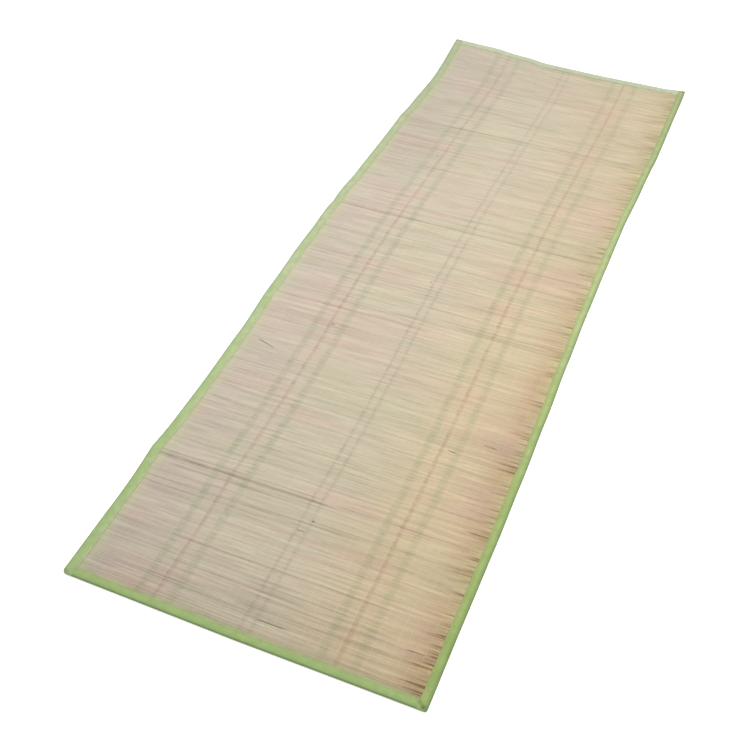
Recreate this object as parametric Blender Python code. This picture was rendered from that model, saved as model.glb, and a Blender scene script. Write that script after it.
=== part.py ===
"""A straw beach mat lying open on the floor: one woven straw panel with green cloth tape folded over
its four edges.

Lengths are in metres. The mat is laid out on its flat plan first: `across` runs from the left edge to
the right one, `along` from the near edge to the far one, and `up` from the underside. `place` then bows
the plan and lifts its folds, and every vertex of every piece goes through it. The origin is at the
middle of the mat's outline, on the floor.
"""

import math

import bmesh
import bpy

# Driving dimensions
WIDTH = 0.600
LENGTH = 1.800
PANEL_THICKNESS = 0.0020
PINCHED_THICKNESS = 0.0016
TAPE_THICKNESS = 0.0010
GAP = 0.0003

# Width of the tape that shows on each edge
TAPE_WIDTH = {"left": 0.0185, "right": 0.0155, "near": 0.0160, "far": 0.0180}

# Radius in plan of each corner of the mat
CORNER_RADIUS = {"left_near": 0.008, "right_near": 0.004, "left_far": 0.005, "right_far": 0.003}

# Sideways bow of the two long edges, positive to the right: along, left edge, right edge
BOW = (
    (0.000, 0.001, -0.001),
    (0.150, 0.000, -0.002),
    (0.300, -0.003, -0.002),
    (0.450, -0.003, -0.004),
    (0.600, -0.006, -0.007),
    (0.750, -0.013, -0.011),
    (0.900, -0.017, -0.014),
    (1.050, -0.016, -0.015),
    (1.200, -0.014, -0.016),
    (1.350, -0.012, -0.012),
    (1.500, -0.008, -0.008),
    (1.650, -0.001, -0.008),
    (1.800, -0.004, -0.007),
)

# How far the straws stray lengthwise from square: along, at the left edge, in the middle, at the right
SKEW = (
    (0.000, 0.001, -0.001, 0.001),
    (0.283, -0.007, 0.000, 0.003),
    (1.060, -0.007, 0.000, 0.006),
    (1.436, -0.010, 0.000, 0.008),
    (1.800, 0.001, -0.001, 0.001),
)

# Creases across the mat: name, kind, along, height at the left edge, height at the right, half width
CREASES = (
    ("first", "ridge", 0.283, 0.0060, 0.0030, 0.090),
    ("second", "trough", 1.060, 0.0040, 0.0030, 0.120),
    ("third", "ridge", 1.436, 0.0050, 0.0040, 0.085),
)

# Height to which the far edge curls up: share of the width from the left, height
FAR_CURL = (
    (0.00, 0.022),
    (0.16, 0.020),
    (0.31, 0.013),
    (0.42, 0.007),
    (0.66, 0.005),
    (0.90, 0.006),
    (1.00, 0.010),
)
CURL_START = 1.500

# The underside steps up over the tape's lower leg within these distances of the edge
STEP_TOP = 0.0205
STEP_FOOT = 0.0455
STEP_HEIGHT = TAPE_THICKNESS + GAP

# Spacing of the vertices
STEP_ALONG = 0.050
STEP_ACROSS = 0.040
CREASE_STEPS = (0.000, 0.012, 0.030, 0.055)


def ease(share):
    """0 to 1 with level ends."""
    share = min(max(share, 0.0), 1.0)
    return share * share * (3 - 2 * share)


def read_table(rows, at, column):
    """A column of a table at a place between two of its rows, joined smoothly."""
    for low, high in zip(rows, rows[1:]):
        if at <= high[0]:
            break
    share = ease((at - low[0]) / (high[0] - low[0]))
    return low[column] + (high[column] - low[column]) * share


def bow(across, along):
    left = read_table(BOW, along, 1)
    right = read_table(BOW, along, 2)
    return left + (right - left) * across / WIDTH


def skew(across, along):
    left, middle, right = (read_table(SKEW, along, column) for column in (1, 2, 3))
    share = across / WIDTH
    if share < 0.5:
        return left + (middle - left) * 2 * share
    return middle + (right - middle) * (2 * share - 1)


def crease_height(across, along):
    """Ridges and troughs: a ridge is a soft tent, a trough a pair of swells with the floor between."""
    height = 0.0
    for _, kind, place_along, left, right, half_width in CREASES:
        near = 1 - abs(along - place_along) / half_width
        if near <= 0:
            continue
        rise = left + (right - left) * across / WIDTH
        form = near**2 if kind == "ridge" else 6.75 * (1 - near) * near**2
        height += rise * form
    return height


def curl_height(across, along):
    share = max(along - CURL_START, 0.0) / (LENGTH - CURL_START)
    return read_table(FAR_CURL, across / WIDTH, 1) * share**2


def place(across, along, up):
    """A point of the flat plan in its place on the floor."""
    return (
        across - WIDTH / 2 + bow(across, along) - CENTRE_X,
        along - LENGTH / 2 + skew(across, along) - CENTRE_Y,
        up + crease_height(across, along) + curl_height(across, along),
    )


# The middle of the outline, so that the origin is at the middle of the mat
CENTRE_X = (min(row[1] for row in BOW) + max(row[2] for row in BOW)) / 2
CENTRE_Y = (min(SKEW[0][1:]) + max(SKEW[-1][1:])) / 2


def stations(length, step, extra, margin):
    """Places along a length: even steps, with the extra ones put in and steps too close to them left out."""
    count = round(length / step)
    even = [length * k / count for k in range(count + 1)]
    kept = [at for at in even if all(abs(at - other) > margin for other in extra)]
    return sorted(kept + [at for at in extra if 0 <= at <= length])


def places_along():
    """Where every piece has a row of vertices: even steps, the underside's steps and the creases."""
    found = {STEP_TOP, STEP_FOOT, LENGTH - STEP_TOP, LENGTH - STEP_FOOT}
    for _, _, along, _, _, half_width in CREASES:
        for step in (*CREASE_STEPS, half_width):
            found |= {along - step, along + step}
    return stations(LENGTH, STEP_ALONG, sorted(found), 0.012)


def places_across():
    """Where the panel and the end tapes have a column of vertices, between the two long edges."""
    found = (STEP_TOP, (STEP_TOP + STEP_FOOT) / 2, STEP_FOOT)
    found += tuple(WIDTH - at for at in found)
    return [at for at in stations(WIDTH, STEP_ACROSS, found, 0.020) if GAP < at < WIDTH - GAP]


def corner_edge(from_end, radius, inset):
    """Distance from the long edge to an outline `inset` inside it, at `from_end` from the short edge."""
    if from_end >= radius or inset >= radius:
        return inset
    reach = radius - inset
    drop = radius - max(from_end, inset)
    return radius - math.sqrt(max(reach**2 - drop**2, 0.0))


def corner_stations(side, inset):
    """Places along a long edge where its two rounded corners need a vertex."""
    near = CORNER_RADIUS[side + "_near"]
    far = CORNER_RADIUS[side + "_far"]
    shares = (0.0, 0.12, 0.35, 0.65, 1.0)
    from_near = [inset + (near - inset) * share for share in shares]
    from_far = [LENGTH - inset - (far - inset) * share for share in shares]
    return from_near + from_far


def edge_inset(side, along, inset):
    """Distance across from the long edge to an outline `inset` inside it."""
    near = corner_edge(along, CORNER_RADIUS[side + "_near"], inset)
    far = corner_edge(LENGTH - along, CORNER_RADIUS[side + "_far"], inset)
    return max(near, far)


def material(name, colour, roughness):
    made = bpy.data.materials.new(name)
    made.use_nodes = True
    shader = made.node_tree.nodes["Principled BSDF"]
    shader.inputs["Base Color"].default_value = (*colour, 1.0)
    shader.inputs["Roughness"].default_value = roughness
    shader.inputs["Metallic"].default_value = 0.0
    return made


def split_quads(mesh):
    """Cuts every quad along the diagonal from its near left corner, so that twisted layers still nest."""
    quads = [face for face in mesh.faces if len(face.verts) == 4]
    for face in quads:
        corners = list(face.verts)
        start = min(range(4), key=lambda k: corners[k].co.x + corners[k].co.y)
        a, b, c, d = corners[start:] + corners[:start]
        mesh.faces.new((a, b, c))
        mesh.faces.new((a, c, d))
    bmesh.ops.delete(mesh, geom=quads, context="FACES_ONLY")


def finish(name, mesh, surface):
    """Turns a bmesh into a named object with its material, with its faces pointing out."""
    split_quads(mesh)
    bmesh.ops.recalc_face_normals(mesh, faces=mesh.faces)
    data = bpy.data.meshes.new(name)
    mesh.to_mesh(data)
    mesh.free()
    data.materials.append(surface)
    data.shade_smooth()
    data.set_sharp_from_angle(angle=math.radians(40))
    made = bpy.data.objects.new(name, data)
    bpy.context.scene.collection.objects.link(made)
    return made


def bridge(mesh, first, second, closed):
    """Quads between two rows of vertices."""
    pairs = list(zip(first, first[1:] + first[:1], second, second[1:] + second[:1]))
    for a, b, c, d in pairs if closed else pairs[:-1]:
        mesh.faces.new((a, b, d, c))


def edge_distance(across, along):
    return min(across, WIDTH - across, along, LENGTH - along)


def panel_levels(across, along):
    """Underside and top of the straw above the floor, before the folds."""
    share = 1 - ease((edge_distance(across, along) - STEP_TOP) / (STEP_FOOT - STEP_TOP))
    under = STEP_HEIGHT * share
    thickness = PANEL_THICKNESS + (PINCHED_THICKNESS - PANEL_THICKNESS) * share
    return under, under + thickness


def straw_panel(surface):
    """The woven panel: one sheet from tape to tape, pinched a little where the tape grips it."""
    inset = TAPE_THICKNESS + GAP
    inner = [at for at in places_along() if inset < at < LENGTH - inset]
    along_places = sorted({*inner, *corner_stations("left", inset), *corner_stations("right", inset)})

    mesh = bmesh.new()
    rows = {"under": [], "top": []}
    for along in along_places:
        left = edge_inset("left", along, inset)
        right = WIDTH - edge_inset("right", along, inset)
        row_places = [left, *places_across(), right]
        for level, side in enumerate(("under", "top")):
            points = [place(at, along, panel_levels(at, along)[level]) for at in row_places]
            rows[side].append([mesh.verts.new(point) for point in points])
    for side in rows.values():
        for first, second in zip(side, side[1:]):
            bridge(mesh, first, second, closed=False)
    for column in (0, -1):
        edge_under = [row[column] for row in rows["under"]]
        edge_top = [row[column] for row in rows["top"]]
        bridge(mesh, edge_under, edge_top, closed=False)
    for row in (0, -1):
        bridge(mesh, rows["under"][row], rows["top"][row], closed=False)
    return finish("straw_panel", mesh, surface)


# Heights of the tape's section, from its underside
TAPE_TOP = 2 * (TAPE_THICKNESS + GAP) + PINCHED_THICKNESS
CAVITY_TOP = TAPE_TOP - TAPE_THICKNESS
ROUND = 0.0014


def outer_wall(inset):
    """The outer face of the tape in section, from its lower edge to its upper one: inset, height."""
    return (
        (inset + ROUND, 0.0),
        (inset + ROUND * 0.3, ROUND * 0.3),
        (inset, ROUND),
        (inset, TAPE_TOP - ROUND),
        (inset + ROUND * 0.3, TAPE_TOP - ROUND * 0.3),
        (inset + ROUND, TAPE_TOP),
    )


def tape_section(outer, wall, width):
    """The closed C of the folded tape: outer face, upper leg, the slot for the straw, lower leg."""
    slot = (
        (width, TAPE_TOP),
        (width, CAVITY_TOP),
        (wall, CAVITY_TOP),
        (wall, TAPE_THICKNESS),
        (width, TAPE_THICKNESS),
        (width, 0.0),
    )
    return [*outer_wall(outer), *slot]


def close_slot(mesh, solid_row, open_row):
    """Joins the solid section of a tucked end to the section where the slot for the straw begins."""
    shell = open_row[:7] + open_row[-1:]
    bridge(mesh, [solid_row[-1], *solid_row[:-1]], [shell[-1], *shell[:-1]], closed=False)
    mesh.faces.new((solid_row[6], solid_row[7], *(open_row[k] for k in (11, 10, 7, 6))))
    mesh.faces.new(open_row[7:11])


def side_tape(side, surface):
    """A tape along a long edge. Its two ends are tucked in, so they close over the panel's corners."""
    width = TAPE_WIDTH[side]
    corners = corner_stations(side, 0.0) + corner_stations(side, TAPE_THICKNESS)
    along_places = sorted({*places_along(), *corners})
    slot_margin = TAPE_THICKNESS - GAP / 10

    def vertex(inset, along, up):
        across = inset if side == "left" else WIDTH - inset
        return mesh.verts.new(place(across, along, up))

    mesh = bmesh.new()
    sections = []
    for along in along_places:
        outer = edge_inset(side, along, 0.0)
        wall = edge_inset(side, along, TAPE_THICKNESS)
        section = tape_section(outer, wall, width)
        open_here = slot_margin < along < LENGTH - slot_margin
        if not open_here:
            section = section[:7] + section[-1:]
        sections.append((along, open_here, [vertex(inset, along, up) for inset, up in section]))
    for (_, first_open, first), (_, second_open, second) in zip(sections, sections[1:]):
        if first_open == second_open:
            bridge(mesh, first, second, closed=True)
        elif first_open:
            close_slot(mesh, second, first)
        else:
            close_slot(mesh, first, second)
    for row in (sections[0][2], sections[-1][2]):
        mesh.faces.new(row)
    return finish("binding_" + side, mesh, surface)


def end_tape(end, surface):
    """A tape across a short edge, from one side tape to the other."""
    width = TAPE_WIDTH[end]
    start = TAPE_WIDTH["left"] + GAP
    stop = WIDTH - TAPE_WIDTH["right"] - GAP
    section = tape_section(0.0, TAPE_THICKNESS, width)
    mesh = bmesh.new()
    rows = []
    for across in (start, *(at for at in places_across() if start < at < stop), stop):
        row = []
        for inset, up in section:
            along = inset if end == "near" else LENGTH - inset
            row.append(mesh.verts.new(place(across, along, up)))
        rows.append(row)
    for first, second in zip(rows, rows[1:]):
        bridge(mesh, first, second, closed=True)
    for row in (rows[0], rows[-1]):
        mesh.faces.new(row)
    return finish("binding_" + end, mesh, surface)


def build():
    for made in list(bpy.data.objects):
        bpy.data.objects.remove(made)
    straw = material("straw", (0.58, 0.48, 0.36), 0.7)
    tape = material("tape", (0.33, 0.52, 0.16), 0.85)
    straw_panel(straw)
    for side in ("left", "right"):
        side_tape(side, tape)
    for end in ("near", "far"):
        end_tape(end, tape)


build()
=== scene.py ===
"""The looks of a straw beach mat that lies open on the floor.

The panel is woven from single straws laid across the mat and held by lengthwise warp threads, some of
them dyed. Green cloth tape is folded over its edges and sewn through. Lengths are in metres. The mat is
laid out on its flat plan first: `across` runs from the left edge to the right one, `along` from the near
edge to the far one, and `up` from the underside. `place` then bows the plan and lifts its folds, as the
solids do.
"""

import math

import bmesh
import bpy
import numpy as np
from mathutils import Matrix, Vector

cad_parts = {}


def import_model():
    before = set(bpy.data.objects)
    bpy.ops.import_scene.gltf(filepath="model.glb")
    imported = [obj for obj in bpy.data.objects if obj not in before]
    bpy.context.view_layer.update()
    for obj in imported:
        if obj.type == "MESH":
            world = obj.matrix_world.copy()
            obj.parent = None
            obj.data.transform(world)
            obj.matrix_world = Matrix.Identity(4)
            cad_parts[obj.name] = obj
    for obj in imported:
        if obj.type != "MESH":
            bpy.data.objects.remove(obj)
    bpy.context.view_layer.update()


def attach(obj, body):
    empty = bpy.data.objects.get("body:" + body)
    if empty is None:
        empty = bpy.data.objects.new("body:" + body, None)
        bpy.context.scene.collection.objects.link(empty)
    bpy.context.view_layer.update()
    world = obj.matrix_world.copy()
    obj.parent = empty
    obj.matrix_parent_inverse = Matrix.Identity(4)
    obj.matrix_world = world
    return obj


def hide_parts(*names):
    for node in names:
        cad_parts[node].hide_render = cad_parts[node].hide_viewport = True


# Sizes of the mat
WIDTH = 0.600
LENGTH = 1.800
PANEL_THICKNESS = 0.0020
PINCHED_THICKNESS = 0.0016
TAPE_THICKNESS = 0.0010
GAP = 0.0003
TAPE_WIDTH = {"left": 0.0185, "right": 0.0155, "near": 0.0160, "far": 0.0180}
CORNER_RADIUS = {"left_near": 0.008, "right_near": 0.004, "left_far": 0.005, "right_far": 0.003}

# Sideways bow of the two long edges, positive to the right: along, left edge, right edge
BOW = (
    (0.000, 0.001, -0.001),
    (0.150, 0.000, -0.002),
    (0.300, -0.003, -0.002),
    (0.450, -0.003, -0.004),
    (0.600, -0.006, -0.007),
    (0.750, -0.013, -0.011),
    (0.900, -0.017, -0.014),
    (1.050, -0.016, -0.015),
    (1.200, -0.014, -0.016),
    (1.350, -0.012, -0.012),
    (1.500, -0.008, -0.008),
    (1.650, -0.001, -0.008),
    (1.800, -0.004, -0.007),
)

# How far the straws stray lengthwise from square: along, at the left edge, in the middle, at the right
SKEW = (
    (0.000, 0.001, -0.001, 0.001),
    (0.283, -0.007, 0.000, 0.003),
    (1.060, -0.007, 0.000, 0.006),
    (1.436, -0.010, 0.000, 0.008),
    (1.800, 0.001, -0.001, 0.001),
)

# Creases across the mat: name, kind, along, height at the left edge, height at the right, half width
CREASES = (
    ("first", "ridge", 0.283, 0.0060, 0.0030, 0.090),
    ("second", "trough", 1.060, 0.0040, 0.0030, 0.120),
    ("third", "ridge", 1.436, 0.0050, 0.0040, 0.085),
)

# Height to which the far edge curls up: share of the width from the left, height
FAR_CURL = (
    (0.00, 0.022),
    (0.16, 0.020),
    (0.31, 0.013),
    (0.42, 0.007),
    (0.66, 0.005),
    (0.90, 0.006),
    (1.00, 0.010),
)
CURL_START = 1.500

# The underside steps up over the tape's lower leg within these distances of the edge
STEP_TOP = 0.0205
STEP_FOOT = 0.0455
STEP_HEIGHT = TAPE_THICKNESS + GAP

# The straws
STRAW_PITCH = 0.0018
STRAW_SIDES = 6
STRAW_STEPS = 32
STRAW_WIDTH = 1.08
STRAW_HEIGHT = 0.92
STRAW_LOTS = 5

# Painted shade along the creases, on the flank turned from the light and in the openings: crease, off
# its place, from across, to across, how dark the painted shade on the straws beside it is, width of the opening
CREASE_LINES = (
    ("first", -0.006, 0.000, 0.345, 0.42, 0.0006),
    ("first", -0.009, 0.000, 0.300, 0.22, 0.0),
    ("first", -0.003, 0.000, 0.320, 0.20, 0.0),
    ("first", 0.000, 0.330, 0.600, 0.24, 0.0006),
    ("second", 0.000, 0.000, 0.600, 0.24, 0.0008),
    ("third", -0.003, 0.000, 0.600, 0.22, 0.0007),
)

# Other lines of painted shade where neighbouring straws part, at random places; some of them open a gap
LINE_COUNT = 72
LINE_CROWDING = 2.2
LINE_LENGTHS = (0.10, 0.45)
LINE_SEED = 25
LINE_SPREAD = 0.0017
PARTING_REACH = 0.006

# Dark stalk ends beside the right tape, at random places
LARGE_STALK_ENDS = 38
SMALL_STALK_ENDS = 320

# Dyed lengthwise stripes: name, across, width, strength
GREEN_STRIPES = (
    ("left outer", 0.1250, 0.0125, 0.18),
    ("left inner", 0.1795, 0.0120, 0.18),
    ("right inner", 0.4268, 0.0120, 0.18),
    ("right outer", 0.4805, 0.0115, 0.16),
)
GREY_STRIPES = (
    ("middle left", 0.297, 0.0050, 0.20),
    ("middle right", 0.314, 0.0050, 0.20),
)
RED_STRIPES = (
    ("left", 0.1523, 0.0060, 0.21),
    ("right", 0.4525, 0.0060, 0.22),
)

# The warp threads
THREAD_WIDTH = 0.0007
THREAD_HEIGHT = 0.00025
PLAIN_THREAD_PITCH = 0.015
THREAD_LIFT = 1.03

# Broken dark slivers caught in the weave: across, along, length, width, turn from square in degrees
SLIVERS = (
    (0.061, 0.594, 0.048, 0.0012, -18.0),
    (0.338, 0.0445, 0.052, 0.0012, 0.5),
    (0.316, 0.2410, 0.005, 0.0022, 0.0),
    (0.470, 0.4690, 0.016, 0.0013, -3.0),
    (0.528, 0.5035, 0.026, 0.0012, -2.0),
    (0.304, 0.2170, 0.014, 0.0010, 4.0),
    (0.556, 0.0830, 0.040, 0.0010, 1.0),
    (0.290, 0.8790, 0.005, 0.0014, 0.0),
    (0.142, 1.3100, 0.005, 0.0016, 12.0),
    (0.158, 0.6900, 0.006, 0.0015, -6.0),
)

# Broad worn or soiled places of the straw: across, along, reach across, reach along, how dark
PATCHES = (
    (0.050, 1.400, 0.110, 0.200, 0.075),
    (0.060, 0.640, 0.070, 0.060, 0.030),
    (0.590, 1.760, 0.150, 0.150, -0.075),
    (0.570, 0.470, 0.050, 0.090, 0.085),
    (0.570, 1.090, 0.050, 0.050, 0.070),
)

# Colours, as they look in daylight, 0 to 255
STRAW_LEFT = (189, 177, 164)
STRAW_MIDDLE = (190, 180, 159)
STRAW_RIGHT = (195, 178, 147)
STRAW_RIGHT_FAR = (189, 175, 149)
STRAW_EDGE = (184, 157, 124)
STRAW_EDGE_FAR = (184, 168, 137)
STRAW_PINK = (194, 166, 150)
STRAW_OLIVE = (180, 176, 146)
STALK_RED = (138, 102, 68)
STALK_DARK = (86, 68, 43)
# Painted shade, in the straw's lines and creases, beside the near tape and on the sheet between the straws
SHADE_COLOUR = (104, 86, 62)
# Painted shade: the lighter colour of the sheet between the straws
SHADE_SHEET_COLOUR = (134, 112, 84)
GREEN_DYE = (114, 133, 99)
GREY_DYE = (128, 123, 96)
RED_DYE = (138, 92, 76)
# Painted shade on the tapes' outer fold and in the sewn groove
TAPE_SHADE_COLOUR = (88, 112, 66)
# Painted shadow of the tapes on the straw beside them, greenish from the tape
TAPE_SHADOW_TINT = (158, 170, 122)
SEWING_COLOUR = (150, 178, 112)
FLOOR_COLOUR = (250, 250, 249)
FLOOR_GLOW = 0.35

# The camera, where the edges of the mat in the photograph place it
CAMERA_PLACE = (0.5248, -1.6509, 1.4164)
CAMERA_AZIMUTH = 21.975
CAMERA_ELEVATION = 44.353
CAMERA_ROLL = 1.071
CAMERA_LENS = 53.47

# The sewing and the tape's details
SEAM_INSET = 0.0032
SEAM_HALF_WIDTH = 0.0008
SEAM_DEPTH = 0.0003
STITCH_PITCH = 0.004
STITCH_START = {"left": 0.004, "right": 0.004, "near": 0.0205, "far": 0.0205}
TUCK_LENGTH = 0.004
# Reach of the painted shade on each tape's outer fold
TAPE_FOLD_SHADE_REACH = {"left": 0.0022, "right": 0.0034, "near": 0.0024, "far": 0.0012}

# Colours of each tape, 0 to 255: side, at the near end, at the far end, its hem
TAPE_COLOURS = {
    "left": ((150, 171, 114), (167, 178, 139), (184, 182, 144)),
    "right": ((141, 161, 92), (163, 175, 121), (146, 148, 90)),
    "near": ((143, 165, 102), (143, 165, 102), (160, 158, 118)),
    "far": ((184, 191, 162), (184, 191, 162), (190, 194, 167)),
}
TAPE_SEEDS = {"left": 61, "right": 62, "near": 63, "far": 64}

# Painted shade in the tucked corners of the tape: across, along, radius, strength
TUCK_SHADES = (
    (0.5935, 0.0045, 0.0035, 0.90),
    (0.5860, 0.0110, 0.0030, 0.45),
    (0.5900, 0.0075, 0.0025, 0.50),
    (0.0050, 0.0050, 0.0040, 0.40),
    (0.0100, 0.0020, 0.0030, 0.30),
    (0.5960, 1.7960, 0.0040, 0.50),
    (0.0040, 1.7960, 0.0040, 0.30),
)
TUCK_SHADE_COLOUR = (58, 78, 40)

# Form of a stitch or sliver: place along it, girth, how far it dives, as shares of its own sizes
ROD_FORM = (
    (-0.50, 0.15, 0.9),
    (-0.33, 0.90, 0.1),
    (0.33, 0.90, 0.1),
    (0.50, 0.15, 0.9),
)
ROD_SIDES = 5


def linear(colour):
    """A 0 to 255 colour as the shader's linear one."""
    share = np.asarray(colour, float) / 255
    return np.where(share <= 0.04045, share / 12.92, ((share + 0.055) / 1.055) ** 2.4)


def ease(share):
    """0 to 1 with level ends."""
    share = np.clip(share, 0.0, 1.0)
    return share * share * (3 - 2 * share)


def read_table(rows, at, column):
    """A column of a table at places between its rows, joined smoothly."""
    at = np.asarray(at, float)
    starts = np.array([row[0] for row in rows])
    values = np.array([row[column] for row in rows])
    low = np.clip(np.searchsorted(starts, at, side="left") - 1, 0, len(rows) - 2)
    share = ease((at - starts[low]) / (starts[low + 1] - starts[low]))
    return values[low] + (values[low + 1] - values[low]) * share


def bow(across, along):
    left = read_table(BOW, along, 1)
    right = read_table(BOW, along, 2)
    return left + (right - left) * across / WIDTH


def skew(across, along):
    left, middle, right = (read_table(SKEW, along, column) for column in (1, 2, 3))
    share = across / WIDTH
    on_left = left + (middle - left) * 2 * share
    on_right = middle + (right - middle) * (2 * share - 1)
    return np.where(share < 0.5, on_left, on_right)


def crease_height(across, along):
    """Ridges and troughs: a ridge is a soft tent, a trough a pair of swells with the floor between."""
    height = np.zeros(np.broadcast(across, along).shape)
    for _, kind, place_along, left, right, half_width in CREASES:
        near = np.clip(1 - np.abs(along - place_along) / half_width, 0, None)
        rise = left + (right - left) * across / WIDTH
        height = height + rise * (near**2 if kind == "ridge" else 6.75 * (1 - near) * near**2)
    return height


def curl_height(across, along):
    share = np.clip(along - CURL_START, 0.0, None) / (LENGTH - CURL_START)
    return read_table(FAR_CURL, across / WIDTH, 1) * share**2


CENTRE_X = (min(row[1] for row in BOW) + max(row[2] for row in BOW)) / 2
CENTRE_Y = (min(SKEW[0][1:]) + max(SKEW[-1][1:])) / 2


def place(across, along, up):
    """Points of the flat plan in their place on the floor."""
    across, along, up = np.broadcast_arrays(*(np.asarray(each, float) for each in (across, along, up)))
    x = across - WIDTH / 2 + bow(across, along) - CENTRE_X
    y = along - LENGTH / 2 + skew(across, along) - CENTRE_Y
    z = up + crease_height(across, along) + curl_height(across, along)
    return np.stack([x, y, z], axis=-1)


def panel_levels(across, along):
    """Underside and top of the straw above the floor, before the folds."""
    edge = np.minimum(np.minimum(across, WIDTH - across), np.minimum(along, LENGTH - along))
    share = 1 - ease((edge - STEP_TOP) / (STEP_FOOT - STEP_TOP))
    under = STEP_HEIGHT * share
    thickness = PANEL_THICKNESS + (PINCHED_THICKNESS - PANEL_THICKNESS) * share
    return under, under + thickness


def field(seed, across, along, across_cell, along_cell):
    """Smooth random values from -1 to 1 over the plan, the same ones for the same seed."""
    columns = int(WIDTH / across_cell) + 4
    rows = int(LENGTH / along_cell) + 4
    grid = np.random.default_rng(seed).uniform(-1, 1, (columns, rows))
    x = np.clip(across / across_cell + 1, 0, columns - 1.001)
    y = np.clip(along / along_cell + 1, 0, rows - 1.001)
    i, j = x.astype(int), y.astype(int)
    u, v = ease(x - i), ease(y - j)
    low = grid[i, j] * (1 - u) + grid[i + 1, j] * u
    high = grid[i, j + 1] * (1 - u) + grid[i + 1, j + 1] * u
    return low * (1 - v) + high * v


def new_object(name, mesh, surface):
    made = bpy.data.objects.new(name, mesh)
    bpy.context.scene.collection.objects.link(made)
    mesh.materials.append(surface)
    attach(made, "root")
    return made


def new_mesh(name, points, faces, flat=None, tint=None, bake=None, smooth=True):
    """A mesh from arrays: points, faces of one size, and for each point its plan place and colour.
    `bake` holds the places of the faces' corners in the map that the finish is baked to."""
    mesh = bpy.data.meshes.new(name)
    corners = faces.shape[1]
    mesh.vertices.add(len(points))
    mesh.vertices.foreach_set("co", points.astype(np.float32).ravel())
    mesh.loops.add(faces.size)
    mesh.loops.foreach_set("vertex_index", faces.astype(np.int32).ravel())
    mesh.polygons.add(len(faces))
    mesh.polygons.foreach_set("loop_start", np.arange(0, faces.size, corners, dtype=np.int32))
    if flat is not None:
        made = mesh.attributes.new("flat", "FLOAT_VECTOR", "POINT")
        made.data.foreach_set("vector", flat.astype(np.float32).ravel())
    if tint is not None:
        made = mesh.attributes.new("tint", "FLOAT_COLOR", "POINT")
        opaque = np.concatenate([tint, np.ones((len(tint), 1))], axis=1)
        made.data.foreach_set("color", opaque.astype(np.float32).ravel())
    if bake is not None:
        layer = mesh.uv_layers.new(name="OFBake")
        layer.data.foreach_set("uv", bake.astype(np.float32).ravel())
    mesh.update(calc_edges=True)
    mesh.validate()
    if smooth:
        mesh.shade_smooth()
    return mesh


def within(across, start, stop):
    """1 inside a stretch of the width and softly 0 outside it."""
    return ease((across - start) / 0.03) * ease((stop - across) / 0.03)


def line_rows():
    """The lines of painted shade: along, from across, to across, how dark, width of the opening. The random
    ones crowd towards the near end and are darker there, as in the photograph."""
    places = {name: along for name, _, along, *_ in CREASES}
    rows = [(places[name] + off, *others) for name, off, *others in CREASE_LINES]
    random = np.random.default_rng(LINE_SEED)
    for _ in range(LINE_COUNT):
        along = 0.018 + 0.98 * (LENGTH - 0.036) * random.uniform(0, 1) ** LINE_CROWDING
        middle = random.uniform(0.0, WIDTH)
        reach = random.uniform(*LINE_LENGTHS) / 2
        dark = (0.12 + 0.20 * random.uniform(0, 1) ** 2) * (1 - 0.4 * along / LENGTH)
        opening = max(0.0, random.uniform(-0.0004, 0.0005))
        rows.append((along, middle - reach, middle + reach, dark, opening))
    return rows


LINES = line_rows()


def partings(across, along):
    """How far the straws are pushed along the mat by the openings beside them."""
    shift = np.zeros(across.shape)
    for line, start, stop, _, opening in LINES:
        if opening:
            beside = along - line
            push = np.sign(beside) * opening / 2 * np.exp(-np.abs(beside) / PARTING_REACH)
            shift += push * within(across, start - 0.02, stop + 0.02)
    return shift


def mix(first, second, share):
    return first + (second - first) * np.clip(share, 0, 1)[..., None]


def stalk_ends(across, along):
    """How much of the dark stalk ends shows beside the right tape."""
    random = np.random.default_rng(77)
    rows = []
    for _ in range(LARGE_STALK_ENDS):
        where = 0.02 + 0.97 * LENGTH * random.uniform(0, 1) ** 1.8
        strength = random.uniform(0.5, 1.0) * (1 - 0.5 * where / LENGTH)
        rows.append((where, random.uniform(0.016, 0.055), random.uniform(0.0011, 0.0018), strength))
    for _ in range(SMALL_STALK_ENDS):
        where = LENGTH * random.uniform(0, 1) ** 1.35
        rows.append((where, random.uniform(0.006, 0.024), 0.0011, random.uniform(0.20, 0.65)))
    edge = WIDTH - TAPE_WIDTH["right"]
    shown = np.zeros(across.shape)
    for place_along, reach, half_width, strength in rows:
        inwards = 1 - (edge - across) / reach
        form = ease(1.8 * inwards) * np.exp(-(((along - place_along) / half_width) ** 2))
        shown = np.maximum(shown, strength * form)
    return shown


def corner_inset(from_end, radius):
    """How far a rounded corner of the mat draws its long edge in, at a distance from the short edge."""
    drop = np.clip(radius - from_end, 0, radius)
    return radius - np.sqrt(radius**2 - drop**2)


def drawn_in(side, along):
    """How far the rounded corners draw in a long edge of the mat."""
    near = corner_inset(along, CORNER_RADIUS[side + "_near"])
    return np.maximum(near, corner_inset(LENGTH - along, CORNER_RADIUS[side + "_far"]))


def between_corners(share, along, inset):
    """Places across for shares of the straw's run from edge to edge."""
    start = inset + drawn_in("left", along)
    stop = WIDTH - inset - drawn_in("right", along)
    return start + (stop - start) * share


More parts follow.
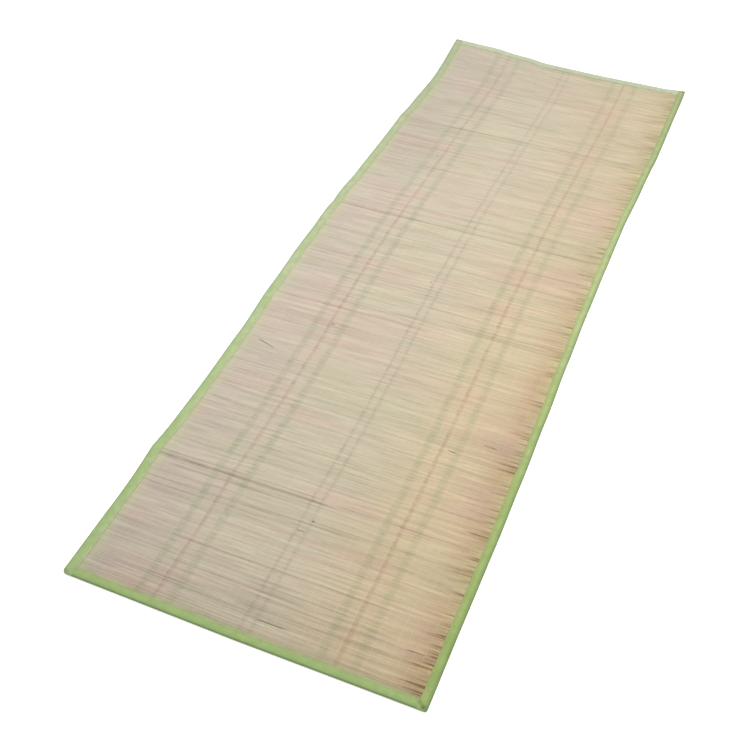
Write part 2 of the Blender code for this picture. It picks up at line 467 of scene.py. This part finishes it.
def straw_tint(across, along, own):
    """The colour of the straw at places on the plan, from palette colours and seeded fields.
    `own` is a random number for each straw."""
    share = across / WIDTH
    colour = np.broadcast_to(linear(STRAW_LEFT), across.shape + (3,))
    colour = mix(colour, linear(STRAW_MIDDLE), ease(share / 0.4))
    far = ease((along - 0.6) / 0.6)
    right = mix(np.broadcast_to(linear(STRAW_RIGHT), colour.shape), linear(STRAW_RIGHT_FAR), far)
    edge = mix(np.broadcast_to(linear(STRAW_EDGE), colour.shape), linear(STRAW_EDGE_FAR), far)
    colour = mix(colour, right, ease((share - 0.5) / 0.3))
    colour = mix(colour, edge, ease((share - 0.86) / 0.11))
    pink = field(11, across, along, 0.110, 0.050) + 0.6 * field(12, across, along, 0.160, 0.0080)
    colour = mix(colour, linear(STRAW_PINK), 0.40 * pink)
    colour = mix(colour, linear(STRAW_OLIVE), -0.30 * pink)
    streak = 0.6 * field(31, across, along, 0.048, 0.0042) + 0.6 * field(32, across, along, 0.027, 0.0023)
    band = field(33, across, along, 0.350, 0.018)
    odd = np.where(own > 0.93, -1.0, np.where(own < 0.08, 0.7, 0.0))
    odd = odd * ease(0.5 + 1.5 * field(34, across, along, 0.100, 0.0018))
    rough = 1 + ease((share - 0.78) / 0.10) * (0.15 + 0.6 * ease((along - 1.35) / 0.15))
    bright = 1 + 0.100 * rough * streak + 0.03 * band + 0.08 * (own - 0.5) + 0.14 * odd
    for at_across, at_along, reach_across, reach_along, depth in PATCHES:
        off = ((across - at_across) / reach_across) ** 2 + ((along - at_along) / reach_along) ** 2
        bright = bright - depth * np.exp(-off)
    # Painted shade: the straw darkens towards the near end, where the lamp's light falls off
    bright = bright - 0.07 * np.exp(-along / 0.15)
    colour = colour * np.clip(bright, 0.4, 1.3)[..., None]
    # Painted shade: the straw is drawn towards a dark brown along the crease lines and partings
    shade = np.zeros(across.shape)
    waved = along + 0.0008 * field(36, across, along, 0.080, 0.060)
    for line, start, stop, depth, _ in LINES:
        near = np.exp(-(((waved - line) / LINE_SPREAD) ** 2))
        shade = np.maximum(shade, depth * near * within(across, start, stop))
    # Painted shadow of the near tape on the straw beside it
    shade = np.maximum(shade, 0.36 * np.exp(-np.clip(along - TAPE_WIDTH["near"], 0, None) / 0.010))
    ragged = 1 + 0.5 * field(35, across, along, 0.030, 0.020)
    colour = mix(colour, linear(SHADE_COLOUR), 0.95 * shade * ragged)
    # Painted shadow beside each tape, greenish from light thrown back by the tape, lifted by 1.32 to lighten
    # the rendered shade there
    for beside, cast, reach in (
        (across - TAPE_WIDTH["left"], 0.62, 0.0035),
        (WIDTH - TAPE_WIDTH["right"] - across, 0.60, 0.0050),
        (along - TAPE_WIDTH["near"], 0.30, 0.0050),
        (LENGTH - TAPE_WIDTH["far"] - along, 0.45, 0.0050),
    ):
        colour = mix(colour, linear(TAPE_SHADOW_TINT) * 1.32, cast * np.exp(-np.clip(beside, 0, None) / reach))
    stalks = stalk_ends(across, along)
    colour = mix(colour, linear(STALK_RED), 1.3 * stalks)
    return mix(colour, linear(STALK_DARK), 1.5 * (stalks - 0.45))


def straw_lot(name, low, high, surface):
    """The straws from `low` to `high` along the mat, each a flattened tube with slight bends."""
    inset = TAPE_THICKNESS + 2 * GAP
    first, last = (max(0, round((edge - inset) / STRAW_PITCH)) for edge in (low, high))
    if high >= LENGTH:
        last = int((LENGTH - 2 * inset) / STRAW_PITCH)
    count = last - first
    random = np.random.default_rng(1000 + first)
    centres = inset + (np.arange(first, last) + 0.5) * STRAW_PITCH
    centres = centres[:, None, None]
    share = np.linspace(0, 1, STRAW_STEPS + 1)[None, :, None]
    across = between_corners(share, centres, inset)
    across, centres = np.broadcast_arrays(across, centres)
    own = np.broadcast_to(random.uniform(0, 1, (count, 1, 1)), across.shape)
    wobble = 0.00022 * field(41, across, centres, 0.060, 0.0040)
    wobble += 0.00012 * field(42, across, centres, 0.030, 0.0018)
    spine = centres + wobble + partings(across, centres)
    under, top = panel_levels(across, spine)
    girth = 1 + 0.16 * (own - 0.5) + 0.10 * field(43, across, centres, 0.045, 0.0018)
    half_high = (top - under) / 2 * STRAW_HEIGHT * np.clip(girth, 0.85, 1.0)
    half_wide = STRAW_PITCH / 2 * STRAW_WIDTH * girth
    middle = (under + top) / 2 + 0.00010 * field(44, across, centres, 0.040, 0.0018)
    middle = np.clip(middle, under + half_high, None)
    turn = 2 * math.pi * (np.arange(STRAW_SIDES) + 0.5)[None, None, :] / STRAW_SIDES
    along = spine + half_wide * np.cos(turn)
    up = middle + half_high * np.sin(turn) / math.sin(math.pi / 3)
    up = np.clip(up, under, None)
    across_all = np.broadcast_to(across, along.shape)
    points = place(across_all, along, up).reshape(-1, 3)
    ids = np.broadcast_to(own, along.shape)
    flat = np.stack([across_all, along, ids], axis=-1).reshape(-1, 3)
    tint = straw_tint(across, centres, own)
    tint = np.broadcast_to(tint, along.shape + (3,)).reshape(-1, 3)

    rings = np.arange(count * (STRAW_STEPS + 1) * STRAW_SIDES).reshape(count, STRAW_STEPS + 1, STRAW_SIDES)
    a, b = rings[:, :-1, :], rings[:, 1:, :]
    faces = np.stack([a, b, np.roll(b, -1, axis=2), np.roll(a, -1, axis=2)], axis=-1).reshape(-1, 4)
    straw, step, side = np.meshgrid(
        np.arange(count), np.arange(STRAW_STEPS), np.arange(STRAW_SIDES), indexing="ij"
    )
    u0, u1 = step / STRAW_STEPS, (step + 1) / STRAW_STEPS
    v0 = (straw * STRAW_SIDES + side) / (count * STRAW_SIDES)
    v1 = (straw * STRAW_SIDES + side + 1) / (count * STRAW_SIDES)
    bake = np.stack([u0, v0, u1, v0, u1, v1, u0, v1], axis=-1).reshape(-1, 2)
    mesh = new_mesh(name, points, faces, flat, tint, bake)
    return new_object(name, mesh, surface)


def shade_sheet(surface):
    """A thin dark sheet between the straws, at half their height: painted shade that shows through the gaps."""
    rows, columns = 180, 36
    inset = TAPE_THICKNESS + 2 * GAP
    half = 0.00015
    along = np.linspace(inset, LENGTH - inset, rows + 1)[:, None]
    across = between_corners(np.linspace(0, 1, columns + 1)[None, :], along, inset)
    along, across = np.broadcast_arrays(along, across)
    under, top = panel_levels(across, along)
    middle = (under + top) / 2
    layers = [place(across, along, middle + lift).reshape(-1, 3) for lift in (half, -half)]
    points = np.concatenate(layers)
    upper = np.arange((rows + 1) * (columns + 1)).reshape(rows + 1, columns + 1)
    lower = upper + upper.size

    def quads(grid, flip):
        corners = [grid[:-1, :-1], grid[:-1, 1:], grid[1:, 1:], grid[1:, :-1]]
        made = np.stack(corners[::-1] if flip else corners, axis=-1)
        return made.reshape(-1, 4)

    def rim(above, below):
        return np.stack([above[:-1], below[:-1], below[1:], above[1:]], axis=-1)

    faces = np.concatenate([
        quads(upper, False),
        quads(lower, True),
        rim(upper[0], lower[0]),
        rim(upper[:, -1], lower[:, -1]),
        rim(upper[-1, ::-1], lower[-1, ::-1]),
        rim(upper[::-1, 0], lower[::-1, 0]),
    ])
    mesh = new_mesh("straw_shade_sheet", points, faces)
    return new_object("straw_shade_sheet", mesh, surface)


def thread_dashes(name, threads, over, surface, dye, share):
    """Warp threads as they show on one face: a short raised float over every second pair of straws.
    `threads` are places across, and `over` is 1 for the top face and -1 for the underside. They have
    the colour of the straw under them, drawn towards `dye` by `share`."""
    inset = TAPE_THICKNESS + 2 * GAP
    pair = 2 * STRAW_PITCH
    count = int((LENGTH - 2 * inset) / pair) - 1
    threads = np.asarray(threads)[:, None]
    offset = (np.arange(len(threads)) % 2)[:, None] * STRAW_PITCH
    centre = inset + pair * (np.arange(count)[None, :] + 0.5) + offset + STRAW_PITCH / 2
    across, centre = np.broadcast_arrays(threads, centre)
    across = across + 0.0006 * field(51, across, centre, 0.010, 0.050)
    centre = centre + partings(across, centre)
    sides = [-1, 0, 1] if over > 0 else [-1, 1]
    side, step = (each.ravel() for each in np.meshgrid(sides, [-1, 0, 1], indexing="ij"))
    around = across[..., None] + side * THREAD_WIDTH / 2
    along = centre[..., None] + step * STRAW_PITCH * 0.85
    under, top = panel_levels(around, along)
    crown = THREAD_HEIGHT * (1 - 0.8 * np.abs(side)) * (step == 0)
    sink = 0.0006 * (step != 0) + 0.00012 * (side != 0)
    level = top if over > 0 else under
    up = np.clip(level + over * (crown - sink), 0.00001, None)
    points = place(around, along, up).reshape(-1, 3)
    lattice = np.arange(len(side)).reshape(len(sides), 3)
    corners = [lattice[:-1, :-1], lattice[1:, :-1], lattice[1:, 1:], lattice[:-1, 1:]]
    quad = np.stack(corners[::over], axis=-1).reshape(-1, 4)
    base = len(side) * np.arange(across.size)[:, None]
    faces = (base[:, :, None] + quad[None]).reshape(-1, 4)
    flat = np.stack([around, along, np.zeros(around.shape)], axis=-1).reshape(-1, 3)
    shade = THREAD_LIFT + 0.10 * field(52, around, along, 0.010, 0.020)
    tint = mix(straw_tint(around, along, np.full(around.shape, 0.5)), linear(dye), np.full(around.shape, share))
    tint = (tint * shade[..., None]).reshape(-1, 3)
    mesh = new_mesh(name, points, faces, flat, tint)
    return new_object(name, mesh, surface)


def spread(stripes, spacing):
    """Places of the threads that make up dyed stripes."""
    found = []
    for _, across, width, _ in stripes:
        count = max(1, round(width / spacing) - 1)
        found += [across + (k - (count - 1) / 2) * spacing for k in range(count)]
    return found


def warp_threads(surface):
    green = spread(GREEN_STRIPES + GREY_STRIPES, 0.0032)
    red = spread(RED_STRIPES, 0.0018)
    dyed = np.array(green + red)
    even = np.arange(TAPE_WIDTH["left"] + 0.008, WIDTH - TAPE_WIDTH["right"], PLAIN_THREAD_PITCH)
    plain = [at for at in even if np.abs(dyed - at).min() > 0.004]
    made = []
    for face, over in (("top", 1), ("under", -1)):
        for name, threads, dye, share in (
            ("warp_green_", green, GREEN_DYE, 0.25),
            ("warp_red_", red, RED_DYE, 0.25),
            ("warp_plain_", plain, STRAW_MIDDLE, 0.20),
        ):
            made.append(thread_dashes(name + face, threads, over, surface, dye, share))
    return made


def rods(across, along, turn, length, width, height, level):
    """Small tapered rods that lie on the mat: stitches and slivers. `turn` is their direction on the
    plan from square across, and `level` is the height of their middle above the flat plan."""
    form = np.array(ROD_FORM)
    angle = 2 * math.pi * np.arange(ROD_SIDES) / ROD_SIDES
    axis = (length[:, None] * form[:, 0])[..., None]
    girth = form[None, :, 1, None]
    side = girth * (width / 2)[:, None, None] * np.cos(angle)
    rise = girth * (height / 2)[:, None, None] * np.sin(angle)
    sunk = (height[:, None] * form[:, 2])[..., None]
    cosine, sine = np.cos(turn)[:, None, None], np.sin(turn)[:, None, None]
    on_across = across[:, None, None] + axis * cosine - side * sine
    on_along = along[:, None, None] + axis * sine + side * cosine
    up = np.clip(level[:, None, None] + rise - sunk * np.sign(level[:, None, None] - 0.001), 0.00002, None)
    points = place(on_across, on_along, up)
    count, rings, sides = points.shape[:3]
    index = np.arange(count * rings * sides).reshape(count, rings, sides)
    low, high = index[:, :-1], index[:, 1:]
    faces = np.stack([low, np.roll(low, -1, axis=2), np.roll(high, -1, axis=2), high], axis=-1)
    flat = np.stack([on_across, on_along, up], axis=-1)
    return points.reshape(-1, 3), faces.reshape(-1, 4), flat.reshape(-1, 3)


def slivers(surface):
    """Broken dark pieces of stalk that lie in the weave."""
    across, along, length, width, degrees = np.array(SLIVERS).T
    level = panel_levels(across, along)[1] + 0.0001
    points, faces, flat = rods(across, along, np.radians(degrees), length, width, width * 0.5, level)
    tint = np.broadcast_to(linear(STALK_DARK), points.shape)
    return new_object("slivers", new_mesh("slivers", points, faces, flat, tint), surface)


TAPE_TOP = 2 * (TAPE_THICKNESS + GAP) + PINCHED_THICKNESS


def tape_profile(width):
    """Outline of the folded cloth in section: inset from the outer edge, height. It runs from the
    inner edge of the upper leg over the sewn groove and round the fold to the lower leg and back."""
    bulge = TAPE_TOP / 2
    hem = TAPE_THICKNESS / 2
    seam = width - SEAM_INSET
    leg = [
        (width - 0.0003, hem * 0.35),
        (width - 0.0012, 0.0),
        (seam + SEAM_HALF_WIDTH, 0.00004),
        (seam, SEAM_DEPTH),
        (seam - SEAM_HALF_WIDTH, 0.00004),
        (seam - 2.4 * SEAM_HALF_WIDTH, 0.0),
        (width * 0.45, 0.0),
        (bulge * 1.3, 0.0001),
    ]
    turns = [math.pi / 2 + math.pi * step / 8 for step in range(1, 8)]
    fold = [(bulge + bulge * math.cos(turn), bulge + bulge * math.sin(turn)) for turn in turns]
    upper = [(inset, TAPE_TOP - drop) for inset, drop in leg]
    inside = [
        (width - 0.0001, TAPE_THICKNESS + 0.0002),
        (width - 0.0010, TAPE_THICKNESS),
        (width * 0.5, TAPE_THICKNESS),
        (TAPE_THICKNESS, TAPE_THICKNESS),
    ]
    back = [(inset, TAPE_TOP - up) for inset, up in inside[::-1]]
    return np.array(upper + fold + leg[::-1] + inside + back)


def tape_tint(side, across, along, inset, width):
    """The tape's colour: rubbed places, a change towards the far end, painted shade on the outer fold and in
    the sewn groove, a pale hem and painted shade in the tucked corners.
    """
    near, far, hem = (linear(colour) for colour in TAPE_COLOURS[side])
    worn = 0.15 * field(71, across, along, 0.050, 0.030) + 0.20 * field(72, across, along, 0.012, 0.012)
    # The colour changes towards the far end, with rubbed places
    towards_far_and_worn = ease((along - 0.10) / 1.1) + worn
    colour = near + (far - near) * towards_far_and_worn[..., None]
    # Painted shade on the outer fold, which faces sideways, and in the sewn groove
    colour = mix(colour, linear(TAPE_SHADE_COLOUR), 0.70 * np.exp(-((inset / TAPE_FOLD_SHADE_REACH[side]) ** 2)))
    seam = np.exp(-(((inset - width + SEAM_INSET) / 0.0010) ** 2))
    colour = mix(colour, linear(TAPE_SHADE_COLOUR), 0.16 * seam)
    run = along if side in ("left", "right") else across
    length = LENGTH if side in ("left", "right") else WIDTH
    off_corner = ease((np.minimum(run, length - run) - 0.012) / 0.012)
    colour = mix(colour, hem, 0.50 * off_corner * ease((inset - width + 0.007) / 0.0075))
    # Painted shade in the tucked corners
    for spot_across, spot_along, radius, strength in TUCK_SHADES:
        off = np.hypot(across - spot_across, along - spot_along) / radius
        colour = mix(colour, linear(TUCK_SHADE_COLOUR), strength * np.exp(-(off**2)))
    return colour * (1 + 0.07 * field(73, across, along, 0.008, 0.008))[..., None]


def tape_pucker(side, inset, run):
    """How the upper leg sinks at each stitch and swells between them."""
    width = TAPE_WIDTH[side]
    near_seam = np.exp(-(((inset - width + SEAM_INSET) / 0.0022) ** 2))
    sunk = 0.00010 * np.cos(2 * math.pi * (run - STITCH_START[side]) / STITCH_PITCH) * near_seam
    leg = ease((inset - 0.004) / (width - 0.004))
    return 0.00020 * leg * field(TAPE_SEEDS[side] + 8, run * 0, run, 0.2, 0.009) - sunk


def tape_run(side):
    """Stations along a tape."""
    if side in ("left", "right"):
        ends = np.array([0, 0.0004, 0.0012, 0.0025, 0.004, 0.006])
        return np.concatenate([ends, np.arange(0.008, LENGTH - 0.007, 0.002), LENGTH - ends[::-1]])
    return np.arange(TAPE_WIDTH["left"] - TUCK_LENGTH, WIDTH - TAPE_WIDTH["right"] + TUCK_LENGTH, 0.002)


def tape(side, surface):
    """One folded tape. The side tapes run the full length and close over the corners, and the end
    tapes run between them with their ends tucked under."""
    width = TAPE_WIDTH[side]
    profile = tape_profile(width)
    girth = np.cumsum(np.hypot(*np.diff(profile, axis=0, prepend=profile[:1]).T))
    long_side = side in ("left", "right")
    run = tape_run(side)[:, None]
    inset, up = (profile[None, :, k] for k in (0, 1))
    seed = TAPE_SEEDS[side]
    leg = ease((inset - 0.004) / (width - 0.004))
    wave = 0.0006 * field(seed, run * 0, run, 0.2, 0.017) + 0.0003 * field(seed + 4, run * 0, run, 0.2, 0.005)
    is_top = up > TAPE_TOP / 2
    up = np.where(is_top, up + tape_pucker(side, inset, run), up)
    inset = inset + wave * leg
    if long_side:
        inset = np.minimum(inset + drawn_in(side, run) * (1 - leg), width + wave)
        closing = 1 - ease(np.minimum(run, LENGTH - run) / 0.0012)
        within_slot = np.abs(profile[None, :, 1] - TAPE_TOP / 2) < TAPE_TOP / 2 - 0.8 * TAPE_THICKNESS
        up = up + (TAPE_TOP / 2 - up) * closing * np.where(within_slot & (inset > 0.0009), 0.97, 0.55)
        across, along = (inset if side == "left" else WIDTH - inset), run
    else:
        from_end = np.minimum(run - run[0], run[-1] - run)
        up = np.where(is_top, up - 0.0007 * (1 - ease(from_end / (TUCK_LENGTH * 1.3))), up)
        across, along = run, (inset if side == "near" else LENGTH - inset)
    across, along, inset, up = np.broadcast_arrays(across, along, inset, up)
    points = place(across, along, up)
    flat = np.stack(np.broadcast_arrays(run, girth[None, :], inset), axis=-1)
    tint = tape_tint(side, across, along, inset, width)
    rows, ring = points.shape[:2]
    index = np.arange(rows * ring).reshape(rows, ring)
    low, high = index[:-1], index[1:]
    faces = np.stack([low, np.roll(low, -1, axis=1), np.roll(high, -1, axis=1), high], axis=-1)
    name = "tape_" + side
    mesh = new_mesh(name, points.reshape(-1, 3), faces.reshape(-1, 4), flat.reshape(-1, 3), tint.reshape(-1, 3))
    made = new_object(name, mesh, surface)
    cap_ends(made, index)
    return made


def cap_ends(made, index):
    """Closes the two cut ends of a tape."""
    work = bmesh.new()
    work.from_mesh(made.data)
    work.verts.ensure_lookup_table()
    for row in (index[0], index[-1]):
        work.faces.new([work.verts[int(k)] for k in row])
    bmesh.ops.recalc_face_normals(work, faces=work.faces)
    work.to_mesh(made.data)
    work.free()
    made.data.shade_smooth()
    made.data.set_sharp_from_angle(angle=math.radians(50))


def stitches(side, surface):
    """The row of sewing beside the tape's inner edge, above and below."""
    width = TAPE_WIDTH[side]
    seam = width - SEAM_INSET
    stop = LENGTH - 0.003 if side in ("left", "right") else WIDTH - TAPE_WIDTH["right"] - 0.001
    run = np.arange(STITCH_START[side], stop, STITCH_PITCH)
    above = TAPE_TOP - SEAM_DEPTH + 0.00014 + tape_pucker(side, np.full(len(run), seam), run)
    level = np.concatenate([above, np.full(len(run), SEAM_DEPTH - 0.00012)])
    run = np.concatenate([run, run])
    random = np.random.default_rng(TAPE_SEEDS[side])
    inset = seam + random.uniform(-0.00012, 0.00012, len(run))
    if side in ("left", "right"):
        across, along, turn = (inset if side == "left" else WIDTH - inset), run, math.pi / 2
    else:
        across, along, turn = run, (inset if side == "near" else LENGTH - inset), 0.0
    turns = turn + random.uniform(-0.06, 0.06, len(run))
    size = np.ones(len(run))
    parts = rods(across, along, turns, size * STITCH_PITCH * 0.86, size * 0.0006, size * 0.0004, level)
    points, faces, flat = parts
    tint = np.broadcast_to(linear(SEWING_COLOUR), points.shape)
    name = "stitches_" + side
    return new_object(name, new_mesh(name, points, faces, flat, tint), surface)


def nodes_of(surface):
    surface.use_nodes = True
    return surface.node_tree.nodes, surface.node_tree.links, surface.node_tree.nodes["Principled BSDF"]


class Graph:
    """Small helpers that add nodes to a material and join them."""

    def __init__(self, name):
        self.surface = bpy.data.materials.new(name)
        self.nodes, self.links, self.shader = nodes_of(self.surface)

    def add(self, kind, **settings):
        node = self.nodes.new(kind)
        for key, value in settings.items():
            setattr(node, key, value)
        return node

    def feed(self, socket, value):
        if isinstance(value, bpy.types.NodeSocket):
            self.links.new(value, socket)
        else:
            socket.default_value = value

    def math(self, operation, *values, clamp=False):
        node = self.add("ShaderNodeMath", operation=operation, use_clamp=clamp)
        for socket, value in zip(node.inputs, values):
            self.feed(socket, value)
        return node.outputs[0]

    def attribute(self, name):
        return self.add("ShaderNodeAttribute", attribute_name=name)

    def scaled(self, vector, factors):
        node = self.add("ShaderNodeVectorMath", operation="MULTIPLY")
        self.feed(node.inputs[0], vector)
        node.inputs[1].default_value = factors
        return node.outputs[0]

    def noise(self, vector, scale=1.0, detail=2.0, roughness=0.5):
        node = self.add("ShaderNodeTexNoise")
        self.feed(node.inputs["Vector"], vector)
        node.inputs["Scale"].default_value = scale
        node.inputs["Detail"].default_value = detail
        node.inputs["Roughness"].default_value = roughness
        return node.outputs["Fac"]

    def range(self, value, low, high, to_low, to_high):
        node = self.add("ShaderNodeMapRange")
        for socket, each in zip(node.inputs, (value, low, high, to_low, to_high)):
            self.feed(socket, each)
        return node.outputs[0]

    def mixed(self, factor, first, second, blend="MIX"):
        node = self.add("ShaderNodeMix", data_type="RGBA", blend_type=blend)
        self.feed(node.inputs["Factor"], factor)
        self.feed(node.inputs["A"], first)
        self.feed(node.inputs["B"], second)
        return node.outputs["Result"]

    def bump(self, height, strength, distance, normal=None):
        node = self.add("ShaderNodeBump")
        node.inputs["Strength"].default_value = strength
        node.inputs["Distance"].default_value = distance
        self.feed(node.inputs["Height"], height)
        if normal is not None:
            self.feed(node.inputs["Normal"], normal)
        return node.outputs["Normal"]

    def stripes(self, across, rows):
        """How much of the dye shows: a soft-edged band for each row of a stripe table."""
        node = self.add("ShaderNodeValToRGB")
        ramp = node.color_ramp
        ramp.elements[0].position = 0.0
        ramp.elements[1].position = 1.0
        for element in ramp.elements:
            element.color = (0, 0, 0, 1)
        for _, centre, width, strength in rows:
            for edge, level in ((-0.70, 0.0), (-0.30, strength), (0.30, strength), (0.70, 0.0)):
                element = ramp.elements.new((centre + edge * width) / WIDTH)
                element.color = (level, level, level, 1)
        self.feed(node.inputs["Fac"], self.math("DIVIDE", across, WIDTH))
        return node.outputs["Color"]


def colour4(colour):
    return (*linear(colour), 1.0)


def straw_material():
    """Dry straw: its own colour at each place, washed-out dye in stripes, fine fibres, dull shine."""
    graph = Graph("straw")
    flat = graph.attribute("flat").outputs["Vector"]
    tint = graph.attribute("tint").outputs["Color"]
    split = graph.add("ShaderNodeSeparateXYZ")
    graph.feed(split.inputs[0], flat)
    across = split.outputs["X"]
    single = graph.noise(graph.scaled(flat, (60, 420, 9)), detail=2, roughness=0.6)
    uptake = graph.range(single, 0.35, 0.65, 0.25, 1.90)
    patches = graph.noise(graph.scaled(flat, (70, 95, 0)), detail=3, roughness=0.75)
    uptake = graph.math("MULTIPLY", uptake, graph.range(patches, 0.34, 0.66, 0.45, 1.60))
    strayed = graph.math("ADD", across, graph.range(single, 0.3, 0.7, -0.0016, 0.0016))
    uptake = graph.math("MULTIPLY", uptake, graph.range(split.outputs["Y"], 0.9, 1.6, 1.0, 0.65))
    colour = tint
    for rows, dye in ((GREEN_STRIPES, GREEN_DYE), (GREY_STRIPES, GREY_DYE), (RED_STRIPES, RED_DYE)):
        shown = graph.math("MULTIPLY", graph.stripes(strayed, rows), uptake)
        colour = graph.mixed(shown, colour, colour4(dye))
    fibre = graph.noise(graph.scaled(flat, (45, 5200, 31)), detail=4, roughness=0.65)
    colour = graph.mixed(1.0, colour, graph.range(fibre, 0.25, 0.75, 0.88, 1.10), blend="MULTIPLY")
    graph.feed(graph.shader.inputs["Base Color"], colour)
    graph.feed(graph.shader.inputs["Roughness"], graph.range(fibre, 0.2, 0.8, 0.62, 0.78))
    graph.shader.inputs["Specular IOR Level"].default_value = 0.35
    graph.feed(graph.shader.inputs["Normal"], graph.bump(fibre, 0.35, 0.0002))
    return graph.surface


# Painted shade for the sheet between the straws, speckled between two dark browns
def shade_sheet_material():
    graph = Graph("straw_shade")
    place_in = graph.add("ShaderNodeTexCoord").outputs["Object"]
    speckle = graph.noise(graph.scaled(place_in, (90, 900, 90)), detail=3)
    colour = graph.mixed(speckle, colour4(SHADE_COLOUR), colour4(SHADE_SHEET_COLOUR))
    graph.feed(graph.shader.inputs["Base Color"], colour)
    graph.shader.inputs["Roughness"].default_value = 0.9
    return graph.surface


def thread_material():
    graph = Graph("warp_thread")
    tint = graph.attribute("tint").outputs["Color"]
    place_in = graph.add("ShaderNodeTexCoord").outputs["Object"]
    strand = graph.noise(graph.scaled(place_in, (4000, 2500, 1000)), detail=2)
    colour = graph.mixed(1.0, tint, graph.range(strand, 0.3, 0.7, 0.85, 1.1), blend="MULTIPLY")
    graph.feed(graph.shader.inputs["Base Color"], colour)
    graph.shader.inputs["Roughness"].default_value = 0.85
    graph.feed(graph.shader.inputs["Normal"], graph.bump(strand, 0.3, 0.0002))
    return graph.surface


def tape_material():
    """Woven cotton tape: its own colour at each place, crossed yarns and a soft matt surface."""
    graph = Graph("binding_tape")
    flat = graph.attribute("flat").outputs["Vector"]
    tint = graph.attribute("tint").outputs["Color"]
    split = graph.add("ShaderNodeSeparateXYZ")
    graph.feed(split.inputs[0], flat)
    yarns = 2 * math.pi / 0.0009
    warp = graph.math("SINE", graph.math("MULTIPLY", split.outputs["X"], yarns))
    weft = graph.math("SINE", graph.math("MULTIPLY", split.outputs["Y"], yarns))
    weave = graph.range(graph.math("MULTIPLY", warp, weft), -1, 1, 0, 1)
    slub = graph.noise(graph.scaled(flat, (120, 1400, 1400)), detail=3)
    fuzz = graph.noise(graph.scaled(flat, (1500, 1500, 1500)), detail=2)
    colour = graph.mixed(1.0, tint, graph.range(weave, 0, 1, 0.88, 1.05), blend="MULTIPLY")
    colour = graph.mixed(1.0, colour, graph.range(slub, 0.3, 0.7, 0.92, 1.07), blend="MULTIPLY")
    colour = graph.mixed(1.0, colour, graph.range(fuzz, 0.3, 0.7, 0.95, 1.05), blend="MULTIPLY")
    graph.feed(graph.shader.inputs["Base Color"], colour)
    graph.shader.inputs["Roughness"].default_value = 0.88
    graph.shader.inputs["Sheen Weight"].default_value = 0.15
    graph.shader.inputs["Sheen Roughness"].default_value = 0.5
    normal = graph.bump(weave, 0.5, 0.0002)
    graph.feed(graph.shader.inputs["Normal"], graph.bump(fuzz, 0.3, 0.0002, normal))
    return graph.surface


def floor_and_light():
    """A plain white floor, a white sky and one soft lamp above the mat, as in the photograph."""
    size = 12.0
    corners = [(-size, -size, 0), (size, -size, 0), (size, size, 0), (-size, size, 0)]
    mesh = bpy.data.meshes.new("floor")
    mesh.from_pydata([Vector(corner) - Vector((0, 0, 0.0002)) for corner in corners], [], [(0, 1, 2, 3)])
    floor = bpy.data.objects.new("floor", mesh)
    bpy.context.scene.collection.objects.link(floor)
    graph = Graph("floor")
    graph.shader.inputs["Base Color"].default_value = colour4(FLOOR_COLOUR)
    graph.shader.inputs["Roughness"].default_value = 0.9
    graph.shader.inputs["Emission Color"].default_value = (1, 1, 1, 1)
    graph.shader.inputs["Emission Strength"].default_value = FLOOR_GLOW
    mesh.materials.append(graph.surface)

    world = bpy.data.worlds.new("studio")
    world.use_nodes = True
    sky = world.node_tree.nodes["Background"]
    sky.inputs["Color"].default_value = (1, 1, 1, 1)
    sky.inputs["Strength"].default_value = 0.55
    bpy.context.scene.world = world

    lamps = (
        ("softbox", (0.18, -0.08, 1.75), 1.6, 37.0),
    )
    for name, where, width, power in lamps:
        data = bpy.data.lights.new(name, "AREA")
        data.size = width
        data.energy = power
        lamp = bpy.data.objects.new(name, data)
        lamp.location = where
        lamp.rotation_euler = (-Vector(where)).to_track_quat("-Z", "Y").to_euler()
        bpy.context.scene.collection.objects.link(lamp)


def camera():
    """Puts the camera where the photograph's corners and edges place it."""
    azimuth, elevation, roll = (math.radians(a) for a in (CAMERA_AZIMUTH, CAMERA_ELEVATION, CAMERA_ROLL))
    forward = Vector((
        -math.sin(azimuth) * math.cos(elevation),
        math.cos(azimuth) * math.cos(elevation),
        -math.sin(elevation),
    ))
    level = Vector((math.cos(azimuth), math.sin(azimuth), 0))
    above = level.cross(forward)
    right = level * math.cos(roll) + above * math.sin(roll)
    upward = right.cross(forward)
    data = bpy.data.cameras.new("camera")
    data.lens = CAMERA_LENS
    data.sensor_width = 36.0
    data.clip_start = 0.05
    made = bpy.data.objects.new("camera", data)
    turn = Matrix((right, upward, -forward)).transposed().to_4x4()
    made.matrix_world = Matrix.Translation(CAMERA_PLACE) @ turn
    bpy.context.scene.collection.objects.link(made)
    bpy.context.scene.camera = made


def straw_panel():
    straw = straw_material()
    edges = np.linspace(0, LENGTH, STRAW_LOTS + 1)
    lots = [
        straw_lot(f"straws_{k + 1}", low, high, straw)
        for k, (low, high) in enumerate(zip(edges, edges[1:]))
    ]
    thread = thread_material()
    threads = warp_threads(thread)
    sheet = shade_sheet(shade_sheet_material())
    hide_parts("straw_panel")
    slivers(thread)


def bindings():
    cloth = tape_material()
    sewing = thread_material()
    sewing.name = "sewing_thread"
    for side in ("left", "right", "near", "far"):
        made = tape(side, cloth)
        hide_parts("binding_" + side)
        sewn = [stitches(side, sewing)]


def main():
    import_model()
    bpy.context.scene.view_settings.view_transform = "Standard"
    camera()
    floor_and_light()
    straw_panel()
    bindings()


main()
